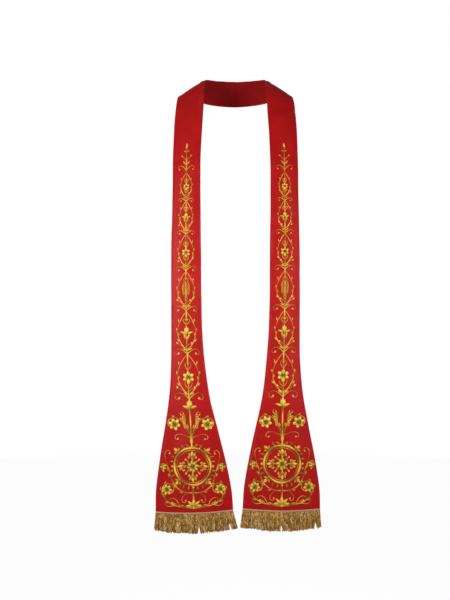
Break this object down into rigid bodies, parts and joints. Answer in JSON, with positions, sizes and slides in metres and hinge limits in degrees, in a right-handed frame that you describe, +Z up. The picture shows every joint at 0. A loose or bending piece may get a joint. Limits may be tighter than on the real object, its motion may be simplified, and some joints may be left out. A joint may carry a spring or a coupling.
{
  "type": "clerical stole",
  "caption": "Roman clerical stole in its worn form: a neck band and two front panels with spade-shaped ends and a bullion fringe.",
  "frame": {"origin": "middle of the neck opening, level with the top of the shoulders", "axes": "+Z up, the wearer faces -Y, so the wearer's left is +X"},
  "size_m": [0.444, 0.2369, 1.2245],
  "materials": {
    "red_cloth": "softly lustrous red church satin over stiffening",
    "gold_braid": "woven pale gold heading",
    "gold_bullion": "twisted antique gold bullion strands",
    "gold_thread": "bright gold satin-stitch thread"
  },
  "bodies": {
    "root": {"half_left": "red_cloth", "half_right": "red_cloth", "heading_left": "gold_braid", "heading_right": "gold_braid", "fringe_left": "gold_bullion", "fringe_right": "gold_bullion"}
  },
  "joints": []
}
